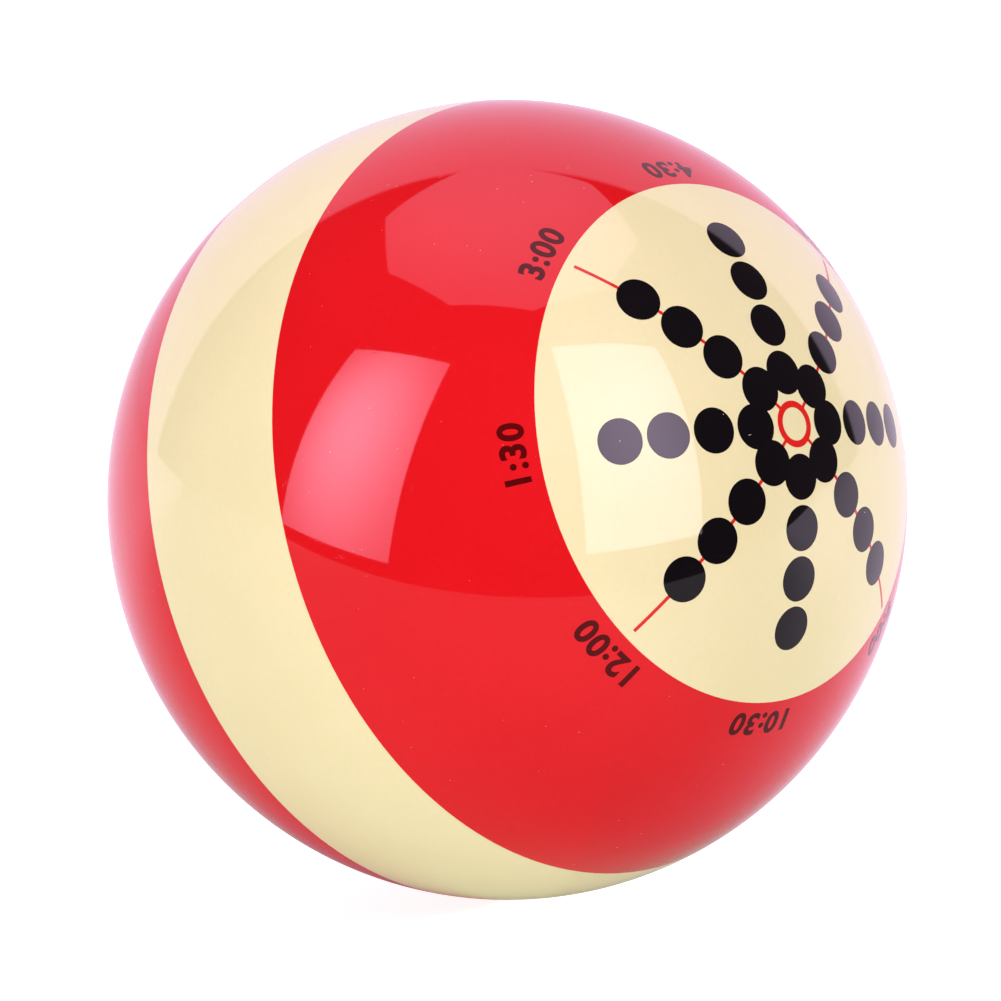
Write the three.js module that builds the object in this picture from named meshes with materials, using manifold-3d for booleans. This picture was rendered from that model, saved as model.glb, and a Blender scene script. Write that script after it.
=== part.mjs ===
// A solid pool cue ball for practice: a cream ball with two red zones, a cream stripe
// between them, and on each side a cream target cap with black dots and fine red aiming
// lines. Every colour is cast or inlaid as a body of its own around one resin core.
//
// Units are millimetres. +Z is up as the ball lies, with its centre at the origin.

import * as THREE from 'three';
import { mergeVertices } from 'three/addons/utils/BufferGeometryUtils.js';
import Module from 'manifold-3d';

const wasm = await Module();
wasm.setup();

// ---- Driving dimensions -------------------------------------------------------------

const BALL_DIAMETER = 57.2;
const SEGMENT_THICKNESS = 5; // cast coloured segments, outside face to inside face
const CORE_GAP = 0.3; // between the segments and the core
const JOINT_GAP = 0.1; // between neighbouring bodies at the surface

// The pattern is laid out in degrees of arc from the middle of a target.
const CAP_EDGE = 39.2;
const STRIPE_HALF_WIDTH = 13.4;
const SPOKES = 8;
const FIRST_DOT = 7.25; // middle of the innermost dot of each spoke
const DOT_PITCH = 7; // from dot to dot along a spoke
const DOTS_ON_SPOKE = 4;
const DOT_DIAMETER = 3.15;
const DOT_DEPTH = 0.45;

// The red aiming mark: a small ring with four fine lines out of it, under the dots.
const RING_INNER = 2.3;
const RING_OUTER = 3.25;
const LINES = 4;
const LINE_END = 38;
const LINE_WIDTH = 0.25;
const MARK_DEPTH = 1.2;

// How the ball lies: the front target looks along -Y, tipped up, and rolled about its axis.
const TARGET_TILT = 20;
const TARGET_ROLL = 127.8;

// Facets
const ROUND_STEPS = 40;
const CORE_STEPS = 24;
const DOT_STEPS = 10;
const ARC_STEP = 9.5; // degrees of arc for one facet along a profile

// ---- Sizes worked out from them -----------------------------------------------------

const BALL_RADIUS = BALL_DIAMETER / 2;
const INNER_RADIUS = BALL_RADIUS - SEGMENT_THICKNESS;
const CORE_RADIUS = INNER_RADIUS - CORE_GAP;
const STRIPE_EDGE = 90 - STRIPE_HALF_WIDTH; // arc from the nearer target's middle
const STRIPE_FAR_EDGE = 90 + STRIPE_HALF_WIDTH;
const HALF_GAP_ANGLE = THREE.MathUtils.radToDeg(JOINT_GAP / 2 / BALL_RADIUS);
const SPOKE_ANGLE = 360 / SPOKES;
const LINE_ANGLE = 360 / LINES;
const TOOL_RISE = 1; // how far a cutting tool stands out of the surface

// ---- Materials ----------------------------------------------------------------------

const creamResin = new THREE.MeshStandardMaterial({ color: 0xf8e9bd, roughness: 0.08 });
const redResin = new THREE.MeshStandardMaterial({ color: 0xe81a24, roughness: 0.08 });
const blackInlay = new THREE.MeshStandardMaterial({ color: 0x0a0708, roughness: 0.1 });
const coreResin = new THREE.MeshStandardMaterial({ color: 0xcfc7b4, roughness: 0.6 });

// ---- Profiles, in the half-plane beside the target axis, which is local +Y ----------

/** The point `polar` degrees of arc from the target axis at `radius`. */
function profilePoint(polar, radius) {
  const angle = THREE.MathUtils.degToRad(polar);
  const across = polar === 0 ? 0 : radius * Math.sin(angle);
  return new THREE.Vector2(across, radius * Math.cos(angle));
}

/** An arc about the ball's centre, in even steps, both ends included. */
function profileArc(from, to, radius) {
  const steps = Math.max(1, Math.round(Math.abs(to - from) / ARC_STEP));
  const stride = (to - from) / steps;
  return Array.from({ length: steps + 1 }, (_, step) => profilePoint(from + stride * step, radius));
}

/** A ring turned from an outer arc and an inner arc. */
function turnedRing(from, to, inner, outer) {
  const outline = [...profileArc(to, from, outer), ...profileArc(from, to, inner)];
  return new THREE.LatheGeometry([...outline, outline[0].clone()], ROUND_STEPS);
}

/** A cap turned about the axis, closed from its inner face to its outer one. */
function turnedCap(edge, inner, outer) {
  const outline = [...profileArc(0, edge, inner), ...profileArc(edge, 0, outer)];
  return new THREE.LatheGeometry(outline, ROUND_STEPS);
}

/** A round inlay plug of `radius`, upright on the axis, between two heights. */
function inlayPlug(radius, bottom, rim, crown) {
  const profile = [
    new THREE.Vector2(0, bottom),
    new THREE.Vector2(radius, bottom),
    new THREE.Vector2(radius, rim),
    new THREE.Vector2(0, crown),
  ];
  return new THREE.LatheGeometry(profile, DOT_STEPS);
}

/** A fin standing in the plane of one aiming line, `width` thick. */
function lineFin(from, to, inner, outer, width) {
  const outline = new THREE.Shape([...profileArc(to, from, outer), ...profileArc(from, to, inner)]);
  const fin = new THREE.ExtrudeGeometry(outline, { depth: width, bevelEnabled: false });
  return fin.translate(0, 0, -width / 2);
}

// ---- Joining and cutting ------------------------------------------------------------

/** A closed geometry as a solid, its shared corners merged and slivers dropped. */
function solidOf(geometry) {
  const bare = geometry.clone();
  bare.deleteAttribute('normal');
  bare.deleteAttribute('uv');
  const merged = mergeVertices(bare, 1e-4);
  const corners = merged.index.array;
  const triVerts = [];
  for (let first = 0; first < corners.length; first += 3) {
    const [a, b, c] = corners.slice(first, first + 3);
    if (a !== b && b !== c && c !== a) {
      triVerts.push(a, b, c);
    }
  }
  const mesh = new wasm.Mesh({
    numProp: 3,
    vertProperties: new Float32Array(merged.attributes.position.array),
    triVerts: new Uint32Array(triVerts),
  });
  return new wasm.Manifold(mesh);
}

/** A solid's surface as a three.js geometry. */
function geometryOf(solid) {
  const mesh = solid.getMesh();
  const geometry = new THREE.BufferGeometry();
  geometry.setAttribute('position', new THREE.BufferAttribute(mesh.vertProperties, 3));
  geometry.setIndex(new THREE.BufferAttribute(mesh.triVerts, 1));
  geometry.computeVertexNormals();
  return geometry;
}

/** All the solids of a list joined into one. */
function joined(solids) {
  return solids.reduce((whole, next) => whole.add(next));
}

/** The turn from the target's middle to a place on a spoke. Spoke 0 is 3 on the dial. */
function patternTurn(polar, spoke) {
  const lean = new THREE.Quaternion();
  lean.setFromAxisAngle(new THREE.Vector3(0, 0, 1), -THREE.MathUtils.degToRad(polar));
  const around = new THREE.Quaternion();
  around.setFromAxisAngle(new THREE.Vector3(0, 1, 0), THREE.MathUtils.degToRad(spoke * SPOKE_ANGLE));
  return around.multiply(lean);
}

// ---- The target's pieces ------------------------------------------------------------

const DOT_RADIUS = DOT_DIAMETER / 2;
const DOT_RIM = Math.sqrt(BALL_RADIUS ** 2 - DOT_RADIUS ** 2);
const dotPlug = inlayPlug(DOT_RADIUS, DOT_RIM - DOT_DEPTH, DOT_RIM, BALL_RADIUS);
const dotPocket = inlayPlug(
  DOT_RADIUS + JOINT_GAP,
  DOT_RIM - DOT_DEPTH - JOINT_GAP,
  BALL_RADIUS + TOOL_RISE,
  BALL_RADIUS + TOOL_RISE,
);

/** Copies of a plug, one for each spoke, at one row of dots. */
function dotRow(plug, row) {
  const polar = FIRST_DOT + DOT_PITCH * row;
  return Array.from({ length: SPOKES }, (_, spoke) =>
    solidOf(plug.clone().applyQuaternion(patternTurn(polar, spoke))),
  );
}

/** Every row's copies of a plug, joined into one cutting tool. */
function allDots(plug) {
  const rows = Array.from({ length: DOTS_ON_SPOKE }, (_, row) => joined(dotRow(plug, row)));
  return joined(rows);
}

/** The ring and lines of the aiming mark, `spare` larger all round. */
function aimingMark(spare, outer) {
  const spareAngle = THREE.MathUtils.radToDeg(spare / BALL_RADIUS);
  const depth = BALL_RADIUS - MARK_DEPTH - spare;
  const lineStart = (RING_INNER + RING_OUTER) / 2;
  const fin = lineFin(lineStart, LINE_END + spareAngle, depth, outer, LINE_WIDTH + 2 * spare);
  const fins = Array.from({ length: LINES }, (_, line) =>
    solidOf(fin.clone().rotateY(THREE.MathUtils.degToRad(line * LINE_ANGLE))),
  );
  const ring = turnedRing(RING_INNER - spareAngle, RING_OUTER + spareAngle, depth, outer);
  return joined([solidOf(ring), ...fins]);
}

const dotPockets = allDots(dotPocket);
const markSolid = aimingMark(0, BALL_RADIUS).subtract(dotPockets);
const markChannel = aimingMark(JOINT_GAP, BALL_RADIUS + TOOL_RISE);
const capBlank = solidOf(turnedCap(CAP_EDGE - HALF_GAP_ANGLE, INNER_RADIUS, BALL_RADIUS));

const capGeometry = geometryOf(capBlank.subtract(markChannel).subtract(dotPockets));
const markGeometry = geometryOf(markSolid);
const wreathGeometry = geometryOf(joined(dotRow(dotPlug, 0)));
const zoneGeometry = turnedRing(
  CAP_EDGE + HALF_GAP_ANGLE,
  STRIPE_EDGE - HALF_GAP_ANGLE,
  INNER_RADIUS,
  BALL_RADIUS,
);
const stripeGeometry = turnedRing(
  STRIPE_EDGE + HALF_GAP_ANGLE,
  STRIPE_FAR_EDGE - HALF_GAP_ANGLE,
  INNER_RADIUS,
  BALL_RADIUS,
);

/** A named mesh. */
function piece(name, geometry, material) {
  const mesh = new THREE.Mesh(geometry, material);
  mesh.name = name;
  return mesh;
}

/** One side of the ball: zone, cap, aiming mark, wreath and the loose dots of each spoke. */
function side(name) {
  const group = new THREE.Group();
  group.add(piece(`${name}_red_zone`, zoneGeometry, redResin));
  group.add(piece(`${name}_target_cap`, capGeometry, creamResin));
  group.add(piece(`${name}_aiming_mark`, markGeometry, redResin));
  group.add(piece(`${name}_dot_wreath`, wreathGeometry, blackInlay));
  for (let spoke = 0; spoke < SPOKES; spoke += 1) {
    for (let row = 1; row < DOTS_ON_SPOKE; row += 1) {
      const dot = piece(`${name}_dot_${spoke}_${row}`, dotPlug, blackInlay);
      dot.quaternion.copy(patternTurn(FIRST_DOT + DOT_PITCH * row, spoke));
      group.add(dot);
    }
  }
  return group;
}

// ---- The ball -----------------------------------------------------------------------

const front = side('front');
const rear = side('rear');
rear.rotation.z = Math.PI; // half a turn about the line from 12 to 6 on the dial

const ball = new THREE.Group();
ball.name = 'cue_ball';
ball.add(piece('core', new THREE.SphereGeometry(CORE_RADIUS, CORE_STEPS, CORE_STEPS / 2), coreResin));
ball.add(piece('stripe_ring', stripeGeometry, creamResin));
ball.add(front, rear);
ball.rotation.set(
  THREE.MathUtils.degToRad(180 - TARGET_TILT),
  THREE.MathUtils.degToRad(TARGET_ROLL),
  0,
);

export default ball;
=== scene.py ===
"""Practice cue ball: the finished look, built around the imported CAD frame.

Every visible body of the ball is remade here as a fine mesh on the exact sphere: the
stripe, and for each side its red zone, target cap, aiming mark, dots and dial numerals.
All sizes are metres in the row's own frame, with the ball's centre at the origin.
"""

import logging
import math
from dataclasses import dataclass
from enum import Enum
from typing import Callable

import bpy
import numpy as np
from mathutils import Matrix, Vector

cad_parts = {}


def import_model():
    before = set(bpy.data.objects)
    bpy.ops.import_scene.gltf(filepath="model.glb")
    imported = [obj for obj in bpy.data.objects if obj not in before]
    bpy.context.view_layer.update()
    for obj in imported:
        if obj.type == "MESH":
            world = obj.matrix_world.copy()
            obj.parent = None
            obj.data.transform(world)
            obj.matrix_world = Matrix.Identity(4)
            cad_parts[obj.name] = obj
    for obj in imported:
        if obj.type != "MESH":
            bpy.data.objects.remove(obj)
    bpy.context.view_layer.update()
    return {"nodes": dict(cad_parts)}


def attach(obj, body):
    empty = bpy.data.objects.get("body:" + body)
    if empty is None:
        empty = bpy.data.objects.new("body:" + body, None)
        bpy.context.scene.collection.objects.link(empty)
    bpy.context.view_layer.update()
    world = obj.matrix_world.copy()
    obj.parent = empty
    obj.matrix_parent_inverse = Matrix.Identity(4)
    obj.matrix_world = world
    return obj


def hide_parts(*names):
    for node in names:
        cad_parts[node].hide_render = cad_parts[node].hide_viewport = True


MM = 0.001
LOG = logging.getLogger("cue_ball")


class Side(Enum):
    """The two ends of the target axis."""

    FRONT = "front"
    REAR = "rear"


class Reading(Enum):
    """Which way the tops of a numeral point."""

    OUTWARD = 1
    INWARD = -1


@dataclass(frozen=True)
class BallLayout:
    """The ball's size, the pattern's arcs in degrees, and how the ball lies."""

    radius: float = 28.6 * MM
    shell: float = 5.0 * MM
    cap_edge: float = 39.2
    stripe_half: float = 13.4
    tilt: float = 20.0
    roll: float = 127.8

    @property
    def stripe_edge(self) -> float:
        """The polar angle where a red zone meets the stripe."""
        return 90.0 - self.stripe_half

    def lying(self, side: Side) -> Matrix:
        """The turn from a side's own pattern to the row's frame.

        Args:
            side: which end of the target axis the pattern is for.

        Returns:
            A 4 by 4 rotation. Pattern +Z is out of the target, +Y is 12 on the dial.
        """
        turn = Matrix.Rotation(math.radians(90.0 - self.tilt), 4, "X")
        turn = turn @ Matrix.Rotation(math.radians(self.roll), 4, "Z")
        if side is Side.REAR:
            turn = turn @ Matrix.Rotation(math.pi, 4, "Y")
        return turn


# ---- Mesh bench ---------------------------------------------------------------------


def deselect_all() -> None:
    """Leaves nothing selected, so that an operator acts on one piece."""
    bpy.ops.object.select_all(action="DESELECT")


def take(piece: bpy.types.Object) -> None:
    """Makes a piece the only selected one and the active one.

    Args:
        piece: the piece that the next operator acts on.
    """
    deselect_all()
    piece.select_set(True)
    bpy.context.view_layer.objects.active = piece


def keep_as(name: str) -> bpy.types.Object:
    """Names the object that an operator has just made, and returns it.

    Args:
        name: the name of the object and its mesh.

    Returns:
        The object.
    """
    piece = bpy.context.object
    piece.name = name
    piece.data.name = name
    return piece


def duplicate(piece: bpy.types.Object, name: str) -> bpy.types.Object:
    """A copy of a piece with a mesh of its own.

    Args:
        piece: the piece to copy.
        name: the name of the copy and its mesh.

    Returns:
        The copy, in the same place.
    """
    copy = piece.copy()
    copy.data = piece.data.copy()
    copy.name = name
    copy.data.name = name
    bpy.context.scene.collection.objects.link(copy)
    return copy


def discard(*pieces: bpy.types.Object) -> None:
    """Removes working pieces and their meshes.

    Args:
        pieces: the pieces, which no name may hold afterwards.
    """
    for piece in pieces:
        mesh = piece.data
        bpy.data.objects.remove(piece)
        bpy.data.meshes.remove(mesh)


def turn_mesh(piece: bpy.types.Object, turn: Matrix) -> None:
    """Turns a piece and applies the turn, so that its place is in its mesh.

    Args:
        piece: the piece, at the origin.
        turn: the 4 by 4 turn.
    """
    take(piece)
    piece.matrix_world = turn @ piece.matrix_world
    bpy.ops.object.transform_apply(location=True, rotation=True, scale=True)


def bisect_at(piece: bpy.types.Object, height: float, keep_above: bool) -> None:
    """Cuts a piece level at a height and throws one side away.

    Args:
        piece: the piece to cut.
        height: where the level cut lies on the Z axis.
        keep_above: keeps the upper side, or else the lower one.
    """
    take(piece)
    bpy.ops.object.mode_set(mode="EDIT")
    bpy.ops.mesh.select_all(action="SELECT")
    bpy.ops.mesh.bisect(
        plane_co=(0, 0, height),
        plane_no=(0, 0, 1),
        clear_inner=keep_above,
        clear_outer=not keep_above,
    )
    bpy.ops.object.mode_set(mode="OBJECT")


def seat_on_sphere(piece: bpy.types.Object, radius: float) -> None:
    """Moves every corner of an open patch straight out or in, onto the sphere."""
    for vertex in piece.data.vertices:
        vertex.co = vertex.co.normalized() * radius


def thicken(piece: bpy.types.Object, depth: float) -> None:
    """Gives an open patch a wall inward from its face, so that it is a closed body.

    Args:
        piece: the open patch.
        depth: how thick the wall is.
    """
    take(piece)
    wall = piece.modifiers.new("wall", "SOLIDIFY")
    wall.thickness = depth
    wall.offset = -1.0
    wall.use_even_offset = False
    bpy.ops.object.modifier_apply(modifier=wall.name)


def ring_patch(
    name: str,
    radius: float,
    inner: Callable[[float], float],
    outer: Callable[[float], float],
    depth: float,
    around: int = 192,
    rows: int = 6,
) -> bpy.types.Object:
    """A closed ring round the pole, drawn out row by row from its inner edge.

    Args:
        name: the piece's name.
        radius: radius of its face from the ball's centre.
        inner: the arc length from the pole to the inner edge, by angle round the pole.
        outer: the same for the outer edge.
        depth: how deep the ring goes from its face.
        around: corners round the pole.
        rows: faces across the ring.

    Returns:
        The closed ring.
    """
    hole, growth = radius / 10, 1.1
    deselect_all()
    bpy.ops.mesh.primitive_circle_add(vertices=around, radius=hole, fill_type="NOTHING")
    piece = keep_as(name)
    bpy.ops.object.mode_set(mode="EDIT")
    bpy.ops.mesh.select_all(action="SELECT")
    for _ in range(rows):
        bpy.ops.mesh.extrude_edges_move()
        bpy.ops.transform.resize(value=(growth, growth, 1.0))
    bpy.ops.object.mode_set(mode="OBJECT")
    for vertex in piece.data.vertices:
        turn = math.atan2(vertex.co.y, vertex.co.x)
        row = round(math.log(vertex.co.xy.length / hole, growth))
        polar = (inner(turn) + (outer(turn) - inner(turn)) * row / rows) / radius
        across = radius * math.sin(polar)
        vertex.co = (across * math.cos(turn), across * math.sin(turn), radius * math.cos(polar))
    face_outward(piece)
    thicken(piece, depth)
    return piece


def weld(piece: bpy.types.Object, other: bpy.types.Object) -> None:
    """Makes one closed body of a piece and another, which stays as it is.

    Args:
        piece: the piece that grows.
        other: the closed body that is welded on.
    """
    take(piece)
    joint = piece.modifiers.new("weld", "BOOLEAN")
    joint.solver = "EXACT"
    joint.operation = "UNION"
    joint.object = other
    bpy.ops.object.modifier_apply(modifier=joint.name)


def face_outward(piece: bpy.types.Object) -> None:
    """Turns an open patch over if its faces look towards the ball's centre."""
    if sum(face.normal.dot(face.center) for face in piece.data.polygons) < 0:
        piece.data.flip_normals()


def polish_round(piece: bpy.types.Object, radius: float) -> None:
    """Shades the ball's surface as the true sphere, so that reflections run across joints.

    Args:
        piece: a piece already in the row's frame.
        radius: the ball's radius. Faces within a hair of it count as its surface.
    """
    hair = 0.05 * MM
    mesh = piece.data
    mesh.polygons.foreach_set("use_smooth", [True] * len(mesh.polygons))
    normals: list[Vector] = [Vector((0, 0, 1))] * len(mesh.loops)
    for face in mesh.polygons:
        corners = [mesh.vertices[index].co for index in face.vertices]
        outside = all(corner.length > radius - hair for corner in corners)
        outside = outside and face.normal.dot(face.center.normalized()) > 0.9
        for loop, corner in zip(face.loop_indices, corners):
            normals[loop] = corner.normalized() if outside else face.normal.copy()
    mesh.normals_split_custom_set(normals)


# ---- Shared effects -----------------------------------------------------------------


class NodeBench:
    """A node tree in the making: short ways to add nodes, set them and join them."""

    def __init__(self, tree: bpy.types.NodeTree) -> None:
        """Takes the tree to build in."""
        self.tree = tree

    def node(self, kind: str, **settings: object) -> bpy.types.Node:
        """Adds a node and sets its plain properties.

        Args:
            kind: the node's type.
            settings: its properties by name.

        Returns:
            The node.
        """
        made = self.tree.nodes.new(kind)
        for label, value in settings.items():
            setattr(made, label, value)
        return made

    def feed(self, slot: bpy.types.NodeSocket, value: object) -> None:
        """Joins a slot to a socket, or sets it to a plain value.

        Args:
            slot: the input that takes the value.
            value: an output socket, or a number, vector or colour.
        """
        if isinstance(value, bpy.types.NodeSocket):
            self.tree.links.new(value, slot)
        else:
            slot.default_value = value

    def math(self, operation: str, *terms: object, clamp: bool = False) -> bpy.types.NodeSocket:
        """A sum of sockets or numbers, as a socket.

        Args:
            operation: the Math node's operation.
            terms: its inputs in order, each a socket or a number.
            clamp: holds the result between 0 and 1.

        Returns:
            The result socket.
        """
        step = self.node("ShaderNodeMath", operation=operation, use_clamp=clamp)
        for slot, term in zip(step.inputs, terms):
            self.feed(slot, term)
        return step.outputs["Value"]

    def ramp(
        self,
        value: bpy.types.NodeSocket,
        over: tuple[float, float],
        to: tuple[float, float] = (0.0, 1.0),
        shape: str = "SMOOTHSTEP",
    ) -> bpy.types.NodeSocket:
        """Carries a value from one range to another.

        Args:
            value: the value socket.
            over: where the change starts and ends.
            to: the results before the start and past the end.
            shape: how the change runs between them.

        Returns:
            The result socket.
        """
        step = self.node("ShaderNodeMapRange", interpolation_type=shape)
        self.feed(step.inputs["Value"], value)
        for label, amount in zip(("From Min", "From Max", "To Min", "To Max"), (*over, *to)):
            step.inputs[label].default_value = amount
        return step.outputs["Result"]

    def blend(self, share: bpy.types.NodeSocket, first: object, second: object) -> bpy.types.NodeSocket:
        """A colour that goes from the first to the second as a share goes from 0 to 1.

        Args:
            share: the share of the second colour.
            first: the colour at 0, plain or a socket.
            second: the colour at 1, plain or a socket.

        Returns:
            The colour socket.
        """
        mix = self.node("ShaderNodeMix", data_type="RGBA")
        for label, value in (("Factor", share), ("A", first), ("B", second)):
            self.feed(mix.inputs[label], value)
        return mix.outputs["Result"]

    def along(self, place: bpy.types.NodeSocket, way: Vector) -> bpy.types.NodeSocket:
        """How far a place lies in a direction.

        Args:
            place: the place as a vector socket.
            way: the direction, of length 1.

        Returns:
            The distance socket.
        """
        reach = self.node("ShaderNodeVectorMath", operation="DOT_PRODUCT")
        self.feed(reach.inputs[0], place)
        self.feed(reach.inputs[1], way)
        return reach.outputs["Value"]


class EffectGroup(NodeBench):
    """A shader node group with named inputs and outputs, built once and reused."""

    def __init__(self, name: str, inputs: dict[str, float], outputs: tuple[str, ...]) -> None:
        """Makes the group with its sockets.

        Args:
            name: the group's name.
            inputs: number inputs with their defaults.
            outputs: names of the number outputs.
        """
        super().__init__(bpy.data.node_groups.new(name, "ShaderNodeTree"))
        sockets = self.tree.interface
        for label, value in inputs.items():
            socket = sockets.new_socket(label, in_out="INPUT", socket_type="NodeSocketFloat")
            socket.default_value = value
        for label in outputs:
            sockets.new_socket(label, in_out="OUTPUT", socket_type="NodeSocketFloat")
        self.into = self.node("NodeGroupInput").outputs
        self.out = self.node("NodeGroupOutput").inputs
        self.place = self.node("ShaderNodeTexCoord").outputs["Object"]

    def noise(
        self, scale: object, detail: float, place: bpy.types.NodeSocket | None = None
    ) -> bpy.types.NodeSocket:
        """A noise over the ball.

        Args:
            scale: cycles for each metre, a number or a socket.
            detail: octaves.
            place: where it is read, if not at the plain place on the ball.

        Returns:
            The noise's value socket.
        """
        cloud = self.node("ShaderNodeTexNoise")
        self.feed(cloud.inputs["Vector"], place or self.place)
        self.feed(cloud.inputs["Scale"], scale)
        self.feed(cloud.inputs["Detail"], detail)
        return cloud.outputs["Fac"]

    def drawn_out(self, turn: tuple[float, ...], scale: tuple[float, ...]) -> bpy.types.NodeSocket:
        """The place on the ball, turned in radians and scaled apart along each axis.

        Args:
            turn: turn about the ball's axes.
            scale: scale along each turned axis. A low one draws a pattern out.

        Returns:
            The vector socket.
        """
        spin = self.node("ShaderNodeMapping")
        self.feed(spin.inputs["Vector"], self.place)
        self.feed(spin.inputs["Rotation"], turn)
        self.feed(spin.inputs["Scale"], scale)
        return spin.outputs["Vector"]

    def scattered(
        self, turn: tuple[float, ...], scale: tuple[float, ...], size: float, rarity: float
    ) -> bpy.types.NodeSocket:
        """Small separate marks scattered over the ball, round or drawn out to short hairs.

        Args:
            turn: turn of the scatter about the ball's axes, in radians.
            scale: cells for each metre along the turned axes. A low one draws the marks out.
            size: a mark's radius in cells.
            rarity: the share of cells that stay empty.

        Returns:
            A mask socket, 1 on a mark.
        """
        cells = self.node("ShaderNodeTexVoronoi", feature="F1")
        self.feed(cells.inputs["Vector"], self.drawn_out(turn, scale))
        self.feed(cells.inputs["Scale"], 1.0)
        near = self.ramp(cells.outputs["Distance"], (size * 0.5, size), (1.0, 0.0))
        lot = self.node("ShaderNodeSeparateColor")
        self.feed(lot.inputs["Color"], cells.outputs["Color"])
        chosen = self.math("GREATER_THAN", lot.outputs["Red"], rarity)
        return self.math("MULTIPLY", near, chosen)


def build_cast_cloud() -> bpy.types.NodeTree:
    """Faint clouds and fine specks, as in a poured resin.

    Returns:
        A group that puts out a Mask around 0.5 for tinting.
    """
    grain_scale, grain_weight = 2600.0, 0.25
    group = EffectGroup("cast_cloud", {"Scale": 60.0}, ("Mask",))
    broad = group.noise(group.into["Scale"], 3.0)
    grain = group.math("MULTIPLY_ADD", group.noise(grain_scale, 2.0), grain_weight, -grain_weight / 2)
    total = group.math("ADD", broad, grain, clamp=True)
    group.feed(group.out["Mask"], group.ramp(total, (0.3, 0.7)))
    return group.tree


def build_polish_marks() -> bpy.types.NodeTree:
    """What handling leaves on a polished ball: hairlines, dull smears and dust specks.

    Returns:
        A group that puts out Height for a bump, Dull for roughness and Dust for colour.
    """
    hairline_turns = ((0.4, 0.9, 0.2), (1.3, -0.5, 0.8), (-0.7, 0.3, 2.1))
    hairline_scale = (40.0, 1500.0, 1500.0)
    lint_turns = ((0.2, 0.5, 1.1), (1.0, -0.8, 2.4), (2.1, 0.4, -0.6))
    lint_scale = (120.0, 1900.0, 1900.0)
    speck_scale = (700.0, 700.0, 700.0)
    smear_weight, hairline_weight = 0.35, 0.5
    group = EffectGroup("polish_marks", {"Hairlines": 1.0, "Dust": 1.0}, ("Height", "Dull", "Dust"))
    hairs: object = 0.0
    for turn in hairline_turns:
        streak = group.noise(1.0, 1.0, group.drawn_out(turn, hairline_scale))
        hairs = group.math("MAXIMUM", hairs, group.ramp(streak, (0.745, 0.79)))
    hairs = group.math("MULTIPLY", hairs, group.into["Hairlines"])
    specks = group.scattered((0.0, 0.0, 0.0), speck_scale, size=0.032, rarity=0.84)
    for turn in lint_turns:
        lint = group.scattered(turn, lint_scale, size=0.055, rarity=0.92)
        specks = group.math("MAXIMUM", specks, lint)
    specks = group.math("MULTIPLY", specks, group.into["Dust"])
    smear = group.math("MULTIPLY", group.ramp(group.noise(45.0, 2.0), (0.45, 0.75)), smear_weight)
    dull = group.math("MULTIPLY_ADD", hairs, hairline_weight, smear, clamp=True)
    group.feed(group.out["Height"], group.math("SUBTRACT", specks, hairs))
    group.feed(group.out["Dull"], dull)
    group.feed(group.out["Dust"], specks)
    return group.tree


# ---- Finishes -----------------------------------------------------------------------


DUST_GREY = (0.62, 0.58, 0.55, 1.0)


@dataclass(frozen=True)
class PolishedResin:
    """A polished cast resin or a flush inlay of it, mirror bright and faintly clouded."""

    name: str
    deep: tuple[float, float, float]
    pale: tuple[float, float, float]
    cloud_scale: float = 60.0
    roughness: tuple[float, float] = (0.035, 0.11)
    hairlines: float = 1.0
    dust: float = 1.0
    dust_veil: float = 0.75
    index: float = 1.54
    subsurface: float = 0.0

    def material(self, effects: dict[str, bpy.types.NodeTree]) -> bpy.types.Material:
        """Builds the finish's material.

        Args:
            effects: the shared node groups by name.

        Returns:
            The material.
        """
        material = bpy.data.materials.new(self.name)
        material.use_nodes = True
        bench = NodeBench(material.node_tree)
        shader = material.node_tree.nodes["Principled BSDF"].inputs
        shader["IOR"].default_value = self.index
        shader["Subsurface Weight"].default_value = self.subsurface
        shader["Subsurface Scale"].default_value = 0.8 * MM
        cloud = bench.node("ShaderNodeGroup", node_tree=effects["cast_cloud"])
        cloud.inputs["Scale"].default_value = self.cloud_scale
        marks = bench.node("ShaderNodeGroup", node_tree=effects["polish_marks"])
        marks.inputs["Hairlines"].default_value = self.hairlines
        marks.inputs["Dust"].default_value = self.dust
        resin = bench.blend(cloud.outputs["Mask"], (*self.deep, 1.0), (*self.pale, 1.0))
        veil = bench.math("MULTIPLY", marks.outputs["Dust"], self.dust_veil, clamp=True)
        bench.feed(shader["Base Color"], bench.blend(veil, resin, DUST_GREY))
        rough = bench.ramp(marks.outputs["Dull"], (0.0, 1.0), self.roughness, "LINEAR")
        bench.feed(shader["Roughness"], rough)
        relief = bench.node("ShaderNodeBump")
        relief.inputs["Strength"].default_value = 0.35
        relief.inputs["Distance"].default_value = 0.004 * MM
        bench.feed(relief.inputs["Height"], marks.outputs["Height"])
        bench.feed(shader["Normal"], relief.outputs["Normal"])
        return material


CREAM = PolishedResin("cream_cast_resin", (0.79, 0.745, 0.395), (0.83, 0.785, 0.435), subsurface=0.05)
RED = PolishedResin("red_cast_resin", (0.66, 0.0055, 0.0085), (0.71, 0.0080, 0.0115), cloud_scale=45.0)
SCARLET = PolishedResin("red_line_inlay", (0.66, 0.014, 0.010), (0.72, 0.022, 0.014), dust=0.5)
BLACK = PolishedResin("black_dot_inlay", (0.0030, 0.0022, 0.0026), (0.0065, 0.0045, 0.0050), dust=1.4)
NUMERAL = PolishedResin("black_print_on_red", (0.070, 0.0012, 0.0015), (0.100, 0.0018, 0.002), index=1.38)
FILLED = PolishedResin("filled_core_resin", (0.50, 0.45, 0.35), (0.58, 0.53, 0.42), roughness=(0.5, 0.7))


# ---- The ball's pieces --------------------------------------------------------------


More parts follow.
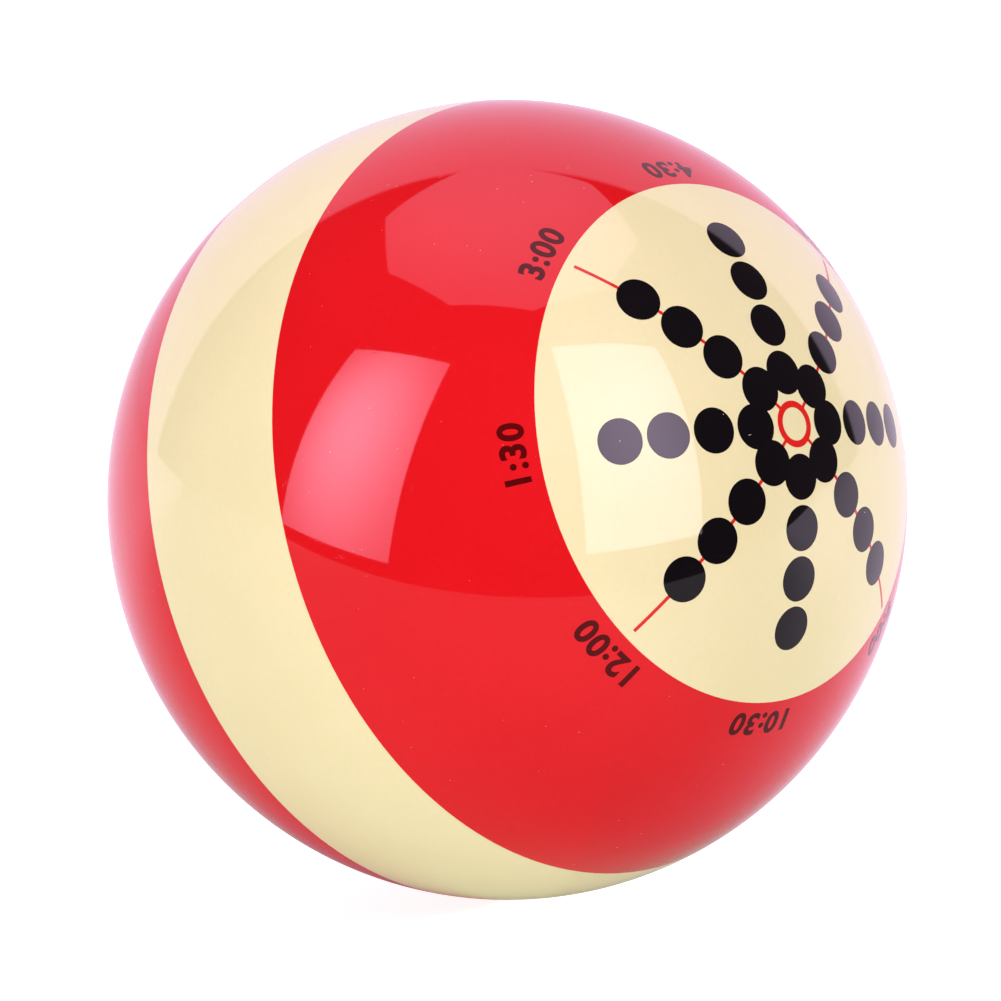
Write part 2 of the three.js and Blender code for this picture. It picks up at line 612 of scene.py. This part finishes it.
@dataclass
class Bands:
    """The turned colour bands: stripe, red zones and cap blanks, all cut from one sphere."""

    layout: BallLayout
    around: int = 192
    rings: int = 128

    def sphere(self, name: str) -> bpy.types.Object:
        """A fine whole sphere with its pole on the target axis.

        Args:
            name: the sphere's name.

        Returns:
            The sphere.
        """
        deselect_all()
        bpy.ops.mesh.primitive_uv_sphere_add(
            segments=self.around, ring_count=self.rings, radius=self.layout.radius
        )
        return keep_as(name)

    def band(self, name: str, start: float, end: float) -> bpy.types.Object:
        """A band between two polar angles, with the wall of a cast segment.

        Args:
            name: the piece's name.
            start: polar angle of the edge nearer the target, or 0 for a whole cap.
            end: polar angle of the other edge.

        Returns:
            The closed band, in the pattern's frame.
        """
        piece = self.sphere(name)
        radius = self.layout.radius
        bisect_at(piece, radius * math.cos(math.radians(end)), keep_above=True)
        if start > 0:
            bisect_at(piece, radius * math.cos(math.radians(start)), keep_above=False)
        seat_on_sphere(piece, radius)
        thicken(piece, self.layout.shell)
        return piece


@dataclass
class Dots:
    """The round black inlays in rows along eight spokes."""

    layout: BallLayout
    spokes: int = 8
    first: float = 7.25
    pitch: float = 7.0
    rows: int = 4
    diameter: float = 3.15 * MM
    depth: float = 0.45 * MM
    corners: int = 56
    proud: float = 0.006 * MM

    def plug(self, name: str, top: float, depth: float) -> bpy.types.Object:
        """A round plug over the pole, with a face that follows the sphere.

        Args:
            name: the plug's name.
            top: radius of its face from the ball's centre.
            depth: how deep it goes from that face.

        Returns:
            The closed plug.
        """
        deselect_all()
        bpy.ops.mesh.primitive_circle_add(
            vertices=self.corners, radius=self.diameter / 2, fill_type="NGON"
        )
        piece = keep_as(name)
        bpy.ops.object.mode_set(mode="EDIT")
        bpy.ops.mesh.select_all(action="SELECT")
        for _ in range(3):
            bpy.ops.mesh.inset(thickness=self.diameter / 9)
        bpy.ops.mesh.poke()
        bpy.ops.object.mode_set(mode="OBJECT")
        scale = top / self.layout.radius
        for vertex in piece.data.vertices:
            across = vertex.co.xy * scale
            vertex.co = (across.x, across.y, math.sqrt(top**2 - across.length_squared))
        thicken(piece, depth)
        return piece

    def place(self, polar: float, spoke: int) -> Matrix:
        """The turn from the pole to a place on a spoke."""
        around = Matrix.Rotation(math.radians(spoke * 360.0 / self.spokes), 4, "Z")
        return around @ Matrix.Rotation(math.radians(polar), 4, "Y")

    def polar(self, row: int) -> float:
        """The polar angle of a row's middles."""
        return self.first + self.pitch * row

    def at(self, plug: bpy.types.Object, name: str, row: int, spoke: int) -> bpy.types.Object:
        """A copy of a plug at one place.

        Args:
            plug: the plug over the pole.
            name: the copy's name.
            row: rows out from the innermost, which is 0.
            spoke: spokes round from 3 on the dial.

        Returns:
            The copy.
        """
        copy = duplicate(plug, name)
        turn_mesh(copy, self.place(self.polar(row), spoke))
        return copy

    def wreath(self, name: str) -> bpy.types.Object:
        """The innermost row, whose overlapping dots make one body with a scalloped outline.

        Args:
            name: the wreath's name.

        Returns:
            The closed wreath, over the pole.
        """
        middle = self.layout.radius * math.radians(self.first)
        radius = self.diameter / 2
        step = math.tau / self.spokes

        def edge(around: float, way: int) -> float:
            """The arc from the pole to the dots' near or far side, by angle round the pole."""
            off = (around + step / 2) % step - step / 2
            return middle * math.cos(off) + way * math.sqrt(radius**2 - (middle * math.sin(off)) ** 2)

        return ring_patch(
            name,
            self.layout.radius + self.proud,
            lambda around: edge(around, -1),
            lambda around: edge(around, 1),
            self.depth,
        )


@dataclass
class AimingMark:
    """The fine red ring and four lines, inlaid in the cap under the dots."""

    layout: BallLayout
    ring_inner: float = 2.3
    ring_outer: float = 3.25
    lines: int = 4
    line_end: float = 38.0
    line_width: float = 0.25 * MM
    depth: float = 1.2 * MM
    proud: float = 0.003 * MM

    def bar(self, name: str, top: float, depth: float) -> bpy.types.Object:
        """One line as a curved bar, spun from a small upright rectangle.

        Args:
            name: the bar's name.
            top: radius of its outer face.
            depth: how deep it goes from that face.

        Returns:
            The closed bar, from under the ring to its outer end.
        """
        deselect_all()
        bpy.ops.mesh.primitive_plane_add(size=1.0, rotation=(0, math.pi / 2, 0))
        piece = keep_as(name)
        piece.scale = (depth, self.line_width, 1.0)
        bpy.ops.object.transform_apply(location=False, rotation=True, scale=True)
        start = math.radians((self.ring_inner + self.ring_outer) / 2)
        piece.location = (0, 0, top - depth / 2)
        bpy.ops.object.transform_apply(location=True, rotation=False, scale=False)
        turn_mesh(piece, Matrix.Rotation(start, 4, "Y"))
        bpy.ops.object.mode_set(mode="EDIT")
        bpy.ops.mesh.select_all(action="SELECT")
        sweep = math.radians(self.line_end) - start
        bpy.ops.mesh.spin(steps=72, angle=-sweep, center=(0, 0, 0), axis=(0, 1, 0), dupli=False)
        bpy.ops.mesh.select_all(action="SELECT")
        bpy.ops.mesh.remove_doubles(threshold=1e-7)
        bpy.ops.mesh.normals_make_consistent(inside=False)
        bpy.ops.object.mode_set(mode="OBJECT")
        return piece

    def body(self, name: str) -> bpy.types.Object:
        """Ring and lines welded in one body.

        Args:
            name: the mark's name.

        Returns:
            The closed mark, over the pole.
        """
        top = self.layout.radius + self.proud
        inner, outer = (math.radians(edge) * top for edge in (self.ring_inner, self.ring_outer))
        whole = ring_patch(name, top, lambda _: inner, lambda _: outer, self.depth, around=96, rows=3)
        for line in range(self.lines):
            bar = self.bar("line", top, self.depth)
            turn_mesh(bar, Matrix.Rotation(math.tau * line / self.lines, 4, "Z"))
            weld(whole, bar)
            discard(bar)
        return whole


@dataclass
class Numerals:
    """The printed dial numerals round a target, thin films on the red zone."""

    layout: BallLayout
    marks: tuple[str, ...] = ("12:00", "1:30", "3:00", "4:30", "6:00", "7:30", "9:00", "10:30")
    inward: tuple[str, ...] = ("4:30", "6:00", "7:30")
    inner_edge: float = 41.0
    height: float = 3.7
    boldness: float = 0.035
    film: float = 0.03 * MM
    proud: float = 0.006 * MM
    grid: float = 0.4 * MM

    def reading(self, mark: str) -> Reading:
        """Which way a mark's tops point."""
        return Reading.INWARD if mark in self.inward else Reading.OUTWARD

    def flat(self, mark: str) -> bpy.types.Object:
        """A mark as a flat mesh, its digits as tall as the print, cut fine enough to bend.

        Args:
            mark: the text.

        Returns:
            The flat mesh, on its baseline and centred across.
        """
        deselect_all()
        bpy.ops.object.text_add()
        text = bpy.context.object
        text.data.body = mark
        text.data.align_x = "CENTER"
        text.data.offset = self.boldness
        text.data.space_character = 1.12
        text.data.resolution_u = 8
        bpy.ops.object.convert(target="MESH")
        piece = bpy.context.object
        heights = [vertex.co.y for vertex in piece.data.vertices]
        tall = math.radians(self.height) * self.layout.radius
        scale = tall / (max(heights) - min(heights))
        piece.location = (0, -min(heights) * scale, 0)
        piece.scale = (scale, scale, scale)
        bpy.ops.object.transform_apply(location=True, rotation=False, scale=True)
        reach = max(abs(vertex.co.x) for vertex in piece.data.vertices)
        bpy.ops.object.mode_set(mode="EDIT")
        for normal, low, high in (((1, 0, 0), -reach, reach), ((0, 1, 0), 0.0, tall)):
            for place in np.arange(low + self.grid, high, self.grid):
                bpy.ops.mesh.select_all(action="SELECT")
                bpy.ops.mesh.bisect(plane_co=[place * part for part in normal], plane_no=normal)
        bpy.ops.object.mode_set(mode="OBJECT")
        return piece

    def printed(self, mark: str, position: int) -> bpy.types.Object:
        """A mark bent onto the red zone at its place on the dial.

        Args:
            mark: the text.
            position: eighths of a turn, clockwise from 12.

        Returns:
            The closed film, in the pattern's frame.
        """
        piece = self.flat(mark)
        way = self.reading(mark).value
        radius = self.layout.radius + self.proud
        middle = math.radians(self.inner_edge + self.height / 2)
        spoke = math.pi / 2 - position * math.pi / 4
        for vertex in piece.data.vertices:
            lift = vertex.co.y / self.layout.radius - math.radians(self.height) / 2
            polar = middle + way * lift
            around = spoke - way * vertex.co.x / (self.layout.radius * math.sin(middle))
            across = radius * math.sin(polar)
            vertex.co = (across * math.cos(around), across * math.sin(around), radius * math.cos(polar))
        take(piece)
        bpy.ops.object.mode_set(mode="EDIT")
        bpy.ops.mesh.select_all(action="SELECT")
        bpy.ops.mesh.remove_doubles(threshold=1e-8)
        bpy.ops.object.mode_set(mode="OBJECT")
        face_outward(piece)
        thicken(piece, self.film)
        return piece


@dataclass
class Dressing:
    """Puts finished pieces on the frame with their finish."""

    layout: BallLayout
    materials: dict[str, bpy.types.Material]
    count: int = 0

    def fit(
        self, piece: bpy.types.Object, nodes: tuple[str, ...], finish: PolishedResin
    ) -> None:
        """Gives a piece its finish and its place on the frame, and hides the CAD nodes that it replaces.

        Args:
            piece: the finished piece, in the row's frame.
            nodes: names of the CAD nodes that it replaces, if any.
            finish: what it is made of.
        """
        polish_round(piece, self.layout.radius)
        piece.data.materials.clear()
        piece.data.materials.append(self.materials[finish.name])
        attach(piece, "root")
        if nodes:
            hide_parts(*nodes)
        self.count += 1
        LOG.info("%s: %d faces", piece.name, len(piece.data.polygons))


@dataclass
class Target:
    """One side's pieces, modelled once over the pattern's pole and copied to both ends."""

    layout: BallLayout
    bands: Bands
    dots: Dots
    mark: AimingMark
    numerals: Numerals

    def build(self) -> list[tuple[bpy.types.Object, str, str, PolishedResin]]:
        """Models the pieces.

        Returns:
            For each piece: the master, the name of the node it stands for or "", its
            slot and its finish.
        """
        zone = self.bands.band("red_zone", self.layout.cap_edge, self.layout.stripe_edge)
        cap = self.bands.band("target_cap", 0.0, self.layout.cap_edge)
        mark = self.mark.body("aiming_mark")
        plug = self.dots.plug("dot", self.layout.radius + self.dots.proud, self.dots.depth)
        pieces = [
            (zone, "red_zone", "red_resin", RED),
            (cap, "target_cap", "cream_resin", CREAM),
            (mark, "aiming_mark", "red_resin", SCARLET),
            (self.dots.wreath("dot_wreath"), "dot_wreath", "black_inlay", BLACK),
        ]
        for spoke in range(self.dots.spokes):
            for row in range(1, self.dots.rows):
                name = f"dot_{spoke}_{row}"
                pieces.append((self.dots.at(plug, name, row, spoke), name, "black_inlay", BLACK))
        discard(plug)
        for position, text in enumerate(self.numerals.marks):
            film = self.numerals.printed(text, position)
            film.name = "numeral_" + text.replace(":", "-")
            pieces.append((film, "", "black_inlay", NUMERAL))
        return pieces

    def dress(self, dressing: Dressing) -> None:
        """Copies every master to the front and the rear and fits it to the frame.

        Args:
            dressing: what puts the pieces on the frame.
        """
        for master, node, slot, finish in self.build():
            stem = master.name
            for side in Side:
                copy = duplicate(master, f"{side.value}_{stem}_fine")
                turn_mesh(copy, self.layout.lying(side))
                nodes = (f"{side.value}_{node}",) if node else ()
                dressing.fit(copy, nodes, finish)
            discard(master)


@dataclass
class Stripe:
    """The cream ring round the middle of the ball."""

    layout: BallLayout
    bands: Bands

    def dress(self, dressing: Dressing) -> None:
        """Models the ring and fits it to the frame.

        Args:
            dressing: what puts the piece on the frame.
        """
        edge = self.layout.stripe_edge
        ring = self.bands.band("stripe_ring_fine", edge, 180.0 - edge)
        turn_mesh(ring, self.layout.lying(Side.FRONT))
        dressing.fit(ring, ("stripe_ring",), CREAM)


# ---- Studio -------------------------------------------------------------------------


GEL = (1.0, 0.87, 1.01, 1.0)  # the lamps' slightly cool pink tint
SHEEN = (1.06, 0.83, 1.12, 1.0)  # how it comes back from the polish
WHITE = (1.0, 1.0, 1.0, 1.0)


def mirror_tint(bench: NodeBench, plain: tuple[float, ...]) -> bpy.types.NodeSocket:
    """A lamp's colour, which turns to the sheen for rays that left a mirror.

    Args:
        bench: the lamp's nodes.
        plain: the colour for every other ray.

    Returns:
        The colour socket.
    """
    ray = bench.node("ShaderNodeLightPath")
    return bench.blend(ray.outputs["Is Glossy Ray"], plain, SHEEN)


@dataclass(frozen=True)
class Softbox:
    """A large soft light, brightest in its middle, standing round the table."""

    name: str
    azimuth: float
    elevation: float
    distance: float
    facing: tuple[float, float]
    roll: float
    width: float
    height: float
    radiance: float
    falloff: float
    corners: int = 4

    def diffuser(self) -> bpy.types.Material:
        """The glowing cloth, which dims towards its edges.

        Returns:
            The material.
        """
        material = bpy.data.materials.new(self.name)
        material.use_nodes = True
        nodes = material.node_tree.nodes
        nodes.remove(nodes["Principled BSDF"])
        bench = NodeBench(material.node_tree)
        reach = bench.node("ShaderNodeVectorMath", operation="LENGTH")
        bench.feed(reach.inputs[0], bench.node("ShaderNodeTexCoord").outputs["Object"])
        edge = self.radiance * (1.0 - self.falloff)
        glow = bench.node("ShaderNodeEmission")
        bench.feed(glow.inputs["Color"], mirror_tint(bench, GEL))
        strength = bench.ramp(reach.outputs["Value"], (0.0, 0.75), (self.radiance, edge))
        bench.feed(glow.inputs["Strength"], strength)
        bench.feed(nodes["Material Output"].inputs["Surface"], glow.outputs["Emission"])
        return material

    def hang(self) -> None:
        """Adds the light."""
        deselect_all()
        if self.corners == 4:
            bpy.ops.mesh.primitive_plane_add(size=1.0)
        else:
            bpy.ops.mesh.primitive_circle_add(vertices=self.corners, radius=0.5, fill_type="NGON")
        cloth = keep_as(self.name)
        cloth.location = direction(self.azimuth, self.elevation) * self.distance
        upright = direction(*self.facing).to_track_quat("Z", "Y").to_matrix().to_4x4()
        cloth.rotation_euler = (upright @ Matrix.Rotation(math.radians(self.roll), 4, "Z")).to_euler()
        cloth.scale = (self.width, self.height, 1.0)
        cloth.visible_camera = False
        cloth.data.materials.append(self.diffuser())


def direction(azimuth: float, elevation: float) -> Vector:
    """The way out from the ball at an azimuth from -Y towards +X and an elevation."""
    a, e = math.radians(azimuth), math.radians(elevation)
    return Vector((math.sin(a) * math.cos(e), -math.cos(a) * math.cos(e), math.sin(e)))


@dataclass
class Studio:
    """White table, pale room, three soft lights and the camera."""

    layout: BallLayout
    camera_azimuth: float = -46.5
    camera_elevation: float = 13.65
    camera_distance: float = 0.3832
    lens: float = 192.4
    shift: tuple[float, float] = (-0.0069, -0.0009)
    table_front: float = 0.145
    table_turn: float = -33.6
    table_reach: float = 3.0
    table_lift: float = 0.78
    table_bounce: float = 0.62
    table_far_glow: float = 0.71
    table_far_turn: float = 166.0
    table_far_span: tuple[float, float] = (-0.8, 1.8)
    backdrop_edge: tuple[float, float] = (0.505, 0.535)
    backdrop_glow: float = 1.0
    room_glow: float = 0.06
    room_fill: float = 0.26
    softboxes: tuple[Softbox, ...] = (
        Softbox(
            "left_softbox",
            azimuth=-95.3,
            elevation=27.1,
            distance=0.92,
            facing=(-70.0, 6.0),
            roll=-8.0,
            width=0.58,
            height=0.92,
            radiance=6.0,
            falloff=0.68,
        ),
        Softbox(
            "right_softbox",
            azimuth=-4.3,
            elevation=28.8,
            distance=0.877,
            facing=(-29.0, 14.0),
            roll=2.0,
            width=0.565,
            height=0.908,
            radiance=4.2,
            falloff=0.3,
        ),
        Softbox(
            "top_softbox",
            azimuth=131.9,
            elevation=85.5,
            distance=0.80,
            facing=(131.9, 85.5),
            roll=15.0,
            width=0.84,
            height=0.84,
            radiance=1.35,
            falloff=0.35,
            corners=8,
        ),
    )

    def set_camera(self) -> None:
        """Adds the camera, level and looking at the ball."""
        data = bpy.data.cameras.new("camera")
        data.lens = self.lens
        data.sensor_width = 36.0
        data.shift_x, data.shift_y = self.shift
        data.clip_start = 0.01
        camera = bpy.data.objects.new("camera", data)
        bpy.context.scene.collection.objects.link(camera)
        way = direction(self.camera_azimuth, self.camera_elevation)
        camera.location = way * self.camera_distance
        camera.rotation_euler = way.to_track_quat("Z", "Y").to_euler()
        bpy.context.scene.camera = camera

    def lay_table(self) -> None:
        """Adds the white table, whose front edge ends in front of the ball."""
        deselect_all()
        bpy.ops.mesh.primitive_plane_add(size=1.0)
        table = keep_as("white_table")
        table.scale = (2 * self.table_reach, self.table_reach, 1.0)
        bpy.ops.object.transform_apply(location=False, rotation=False, scale=True)
        table.location = (0, self.table_reach / 2 - self.table_front, -self.layout.radius)
        bpy.ops.object.transform_apply(location=True, rotation=False, scale=False)
        turn_mesh(table, Matrix.Rotation(math.radians(self.table_turn), 4, "Z"))
        table.data.materials.append(self.table_top())

    def table_top(self) -> bpy.types.Material:
        """White sheet, brighter behind the ball, with a lift for the camera and for bounced light.

        Returns:
            The material.
        """
        material = bpy.data.materials.new("white_table_top")
        material.use_nodes = True
        bench = NodeBench(material.node_tree)
        shader = material.node_tree.nodes["Principled BSDF"].inputs
        shader["Base Color"].default_value = (0.36, 0.38, 0.36, 1.0)
        shader["Roughness"].default_value = 0.8
        seen = bench.node("ShaderNodeLightPath").outputs
        place = bench.node("ShaderNodeTexCoord").outputs["Object"]
        behind = bench.along(place, direction(self.camera_azimuth + self.table_far_turn, 0.0))
        start, end = (part * self.layout.radius for part in self.table_far_span)
        far = bench.ramp(behind, (start, end), (0.0, self.table_far_glow))
        spread = bench.math("MULTIPLY_ADD", seen["Is Diffuse Ray"], self.table_bounce, far)
        lift = bench.math("MULTIPLY_ADD", seen["Is Camera Ray"], self.table_lift, spread)
        bench.feed(shader["Emission Strength"], lift)
        bench.feed(shader["Emission Color"], mirror_tint(bench, WHITE))
        return material

    def paint_room(self) -> None:
        """A pale backdrop behind the ball and a dimmer room in front of it."""
        world = bpy.data.worlds.new("studio_room")
        world.use_nodes = True
        bpy.context.scene.world = world
        sky = world.node_tree.nodes["Background"].inputs
        bench = NodeBench(world.node_tree)
        seen = bench.node("ShaderNodeLightPath").outputs
        place = bench.node("ShaderNodeTexCoord").outputs["Generated"]
        behind = bench.along(place, direction(self.camera_azimuth + 180.0, 0.0))
        glow = bench.ramp(behind, self.backdrop_edge, (self.room_glow, self.backdrop_glow))
        filled = bench.math("MULTIPLY_ADD", seen["Is Diffuse Ray"], self.room_fill, glow)
        bench.feed(sky["Strength"], bench.math("MAXIMUM", filled, seen["Is Camera Ray"]))
        bench.feed(sky["Color"], bench.blend(seen["Is Camera Ray"], mirror_tint(bench, GEL), WHITE))

    def build(self) -> None:
        """Sets up the whole studio."""
        self.set_camera()
        self.lay_table()
        self.paint_room()
        for softbox in self.softboxes:
            softbox.hang()
        bpy.context.scene.view_settings.view_transform = "Standard"


# ---- Making the ball ----------------------------------------------------------------


def main() -> None:
    """Loads the frame, builds the studio and the ball, and reports each piece."""
    logging.basicConfig(level=logging.INFO, format="%(name)s: %(message)s")
    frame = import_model()
    layout = BallLayout()
    Studio(layout).build()
    effects = {tree.name: tree for tree in (build_cast_cloud(), build_polish_marks())}
    finishes = (CREAM, RED, SCARLET, BLACK, NUMERAL, FILLED)
    materials = {finish.name: finish.material(effects) for finish in finishes}
    core = frame["nodes"]["core"]
    core.data.materials.clear()
    core.data.materials.append(materials[FILLED.name])
    dressing = Dressing(layout, materials)
    bands = Bands(layout)
    Stripe(layout, bands).dress(dressing)
    target = Target(layout, bands, Dots(layout), AimingMark(layout), Numerals(layout))
    target.dress(dressing)
    LOG.info("%d pieces made", dressing.count)


if __name__ == "__main__":
    main()
